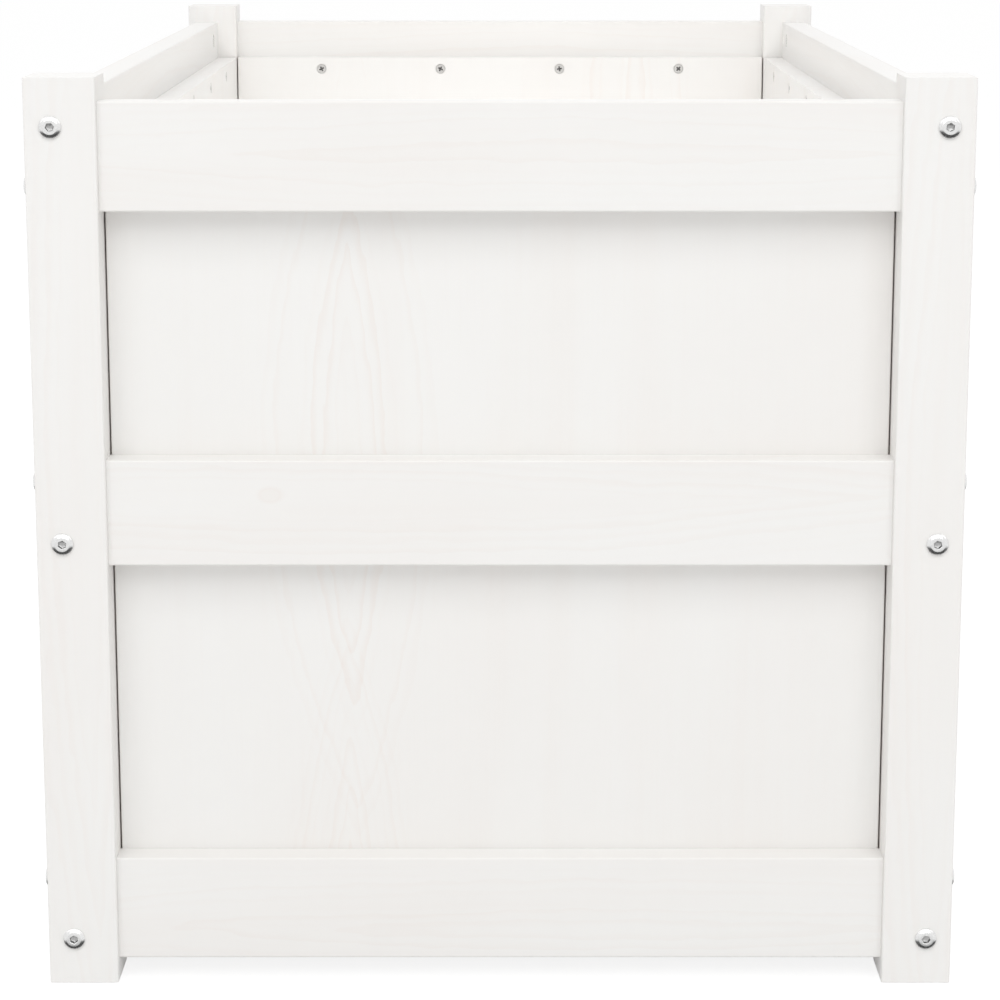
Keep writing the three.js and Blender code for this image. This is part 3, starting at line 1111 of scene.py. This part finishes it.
class PLANTER_OT_stage(bpy.types.Operator):
    """Camera, pale floor, even sky and soft lights all round"""

    bl_idname = "planter.stage"
    bl_label = "Stage"

    def execute(self, context):
        settings = context.scene.planter.stage
        context.scene.view_settings.view_transform = "Standard"
        self.add_camera(context, settings)
        self.add_floor(settings)
        self.add_sky(context, settings)
        for name, (power, size, place) in LIGHTS.items():
            self.add_light(name, getattr(settings, power), size, Vector(place))
        for place in BULB_PLACES:
            self.add_bulb(settings.inner_power, place)
        return {"FINISHED"}

    def add_camera(self, context, settings):
        data = bpy.data.cameras.new("camera")
        data.lens = settings.camera_lens
        camera = new_object("camera", data)
        front = node_size("post_front_left")[0].y
        camera.location = (0.0, front - settings.camera_distance, settings.camera_height)
        camera.rotation_euler = (math.pi / 2 - settings.camera_pitch, 0.0, 0.0)
        context.scene.camera = camera

    def add_floor(self, settings):
        bm = bmesh.new()
        bmesh.ops.create_grid(bm, x_segments=1, y_segments=1, size=settings.floor_size / 2)
        floor = new_object("floor", mesh_from("floor", bm))
        floor.data.materials.append(self.floor_material())
        floor.visible_glossy = False

    def floor_material(self):
        """A pale floor that looks white to the camera and to gloss, and keeps a soft shadow."""
        material = bpy.data.materials.new("pale_floor")
        material.use_nodes = True
        nodes, links = material.node_tree.nodes, material.node_tree.links
        nodes.clear()
        plain = add_node(nodes, "ShaderNodeBsdfDiffuse", {"Color": FLOOR_GREY})
        seen = add_node(nodes, "ShaderNodeBsdfDiffuse", {"Color": SEEN_FLOOR_GREY})
        glow = add_node(nodes, "ShaderNodeEmission", {"Strength": FLOOR_GLOW})
        both = nodes.new("ShaderNodeAddShader")
        links.new(seen.outputs[0], both.inputs[0])
        links.new(glow.outputs[0], both.inputs[1])
        self.split_rays(material.node_tree, plain, both, "ShaderNodeOutputMaterial")
        return material

    def add_sky(self, context, settings):
        """Even light, and a white backdrop for the camera and gloss that dims straight down."""
        world = bpy.data.worlds.new("even_sky")
        world.use_nodes = True
        nodes, links = world.node_tree.nodes, world.node_tree.links
        nodes.clear()
        values = {"Strength": settings.sky_strength, "Color": WHITE}
        light = add_node(nodes, "ShaderNodeBackground", values)
        backdrop = add_node(nodes, "ShaderNodeBackground", {"Color": WHITE})
        direction = nodes.new("ShaderNodeTexCoord")
        split = nodes.new("ShaderNodeSeparateXYZ")
        below = add_node(nodes, "ShaderNodeMapRange", BACKDROP)
        below.interpolation_type = "SMOOTHSTEP"
        links.new(direction.outputs["Generated"], split.inputs[0])
        links.new(split.outputs["Z"], below.inputs["Value"])
        links.new(below.outputs["Result"], backdrop.inputs["Strength"])
        self.split_rays(world.node_tree, light, backdrop, "ShaderNodeOutputWorld")
        context.scene.world = world

    def split_rays(self, tree, plain, seen, output_type):
        """Shows one shader to the light itself, and another to the camera, gloss and glass."""
        path = tree.nodes.new("ShaderNodeLightPath")
        eye = path.outputs["Is Camera Ray"]
        for name in ("Is Glossy Ray", "Is Transmission Ray"):
            either = tree.nodes.new("ShaderNodeMath")
            either.operation = "MAXIMUM"
            tree.links.new(eye, either.inputs[0])
            tree.links.new(path.outputs[name], either.inputs[1])
            eye = either.outputs[0]
        mix = tree.nodes.new("ShaderNodeMixShader")
        for source, socket in zip((eye, plain.outputs[0], seen.outputs[0]), mix.inputs):
            tree.links.new(source, socket)
        output = tree.nodes.new(output_type)
        tree.links.new(mix.outputs[0], output.inputs["Surface"])

    def add_light(self, name, power, size, place):
        data = bpy.data.lights.new(name, "AREA")
        data.shape = "RECTANGLE"
        data.size, data.size_y = size
        data.energy = power
        light = new_object(name, data)
        light.location = place
        light.rotation_euler = (LIT_POINT - place).to_track_quat("-Z", "Y").to_euler()
        light.visible_camera = False

    def add_bulb(self, power, place):
        data = bpy.data.lights.new("inner_bulb", "POINT")
        data.energy = power
        data.shadow_soft_size = BULB_RADIUS
        bulb = new_object("inner_bulb", data)
        bulb.location = place
        bulb.visible_camera = False
        bulb.visible_glossy = False


class PLANTER_PT_panel(bpy.types.Panel):
    """The planter's settings and steps"""

    bl_label = "Planter"
    bl_idname = "PLANTER_PT_panel"
    bl_space_type = "VIEW_3D"
    bl_region_type = "UI"
    bl_category = "Planter"

    def draw(self, context):
        planter = context.scene.planter
        for group in (planter.timber, planter.bolts, planter.screws, planter.paint, planter.stage):
            box = self.layout.box()
            for name in group.__annotations__:
                box.prop(group, name)
        for operator in OPERATORS:
            self.layout.operator(operator.bl_idname)


OPERATORS = (
    PLANTER_OT_stage,
    PLANTER_OT_posts,
    PLANTER_OT_rails,
    PLANTER_OT_boards,
    PLANTER_OT_floor,
    PLANTER_OT_bolts,
    PLANTER_OT_screws,
)
GROUPS = (TimberSettings, BoltSettings, ScrewSettings, PaintSettings, StageSettings, PlanterSettings)
CLASSES = (*GROUPS, *OPERATORS, PLANTER_PT_panel)


def register():
    for item in CLASSES:
        bpy.utils.register_class(item)
    bpy.types.Scene.planter = PointerProperty(type=PlanterSettings)


def unregister():
    del bpy.types.Scene.planter
    for item in reversed(CLASSES):
        bpy.utils.unregister_class(item)


def main():
    register()
    bpy.ops.planter.stage()
    bpy.ops.planter.posts()
    bpy.ops.planter.rails()
    bpy.ops.planter.boards()
    bpy.ops.planter.floor()
    bpy.ops.planter.bolts()
    bpy.ops.planter.screws()


if __name__ == "__main__":
    main()
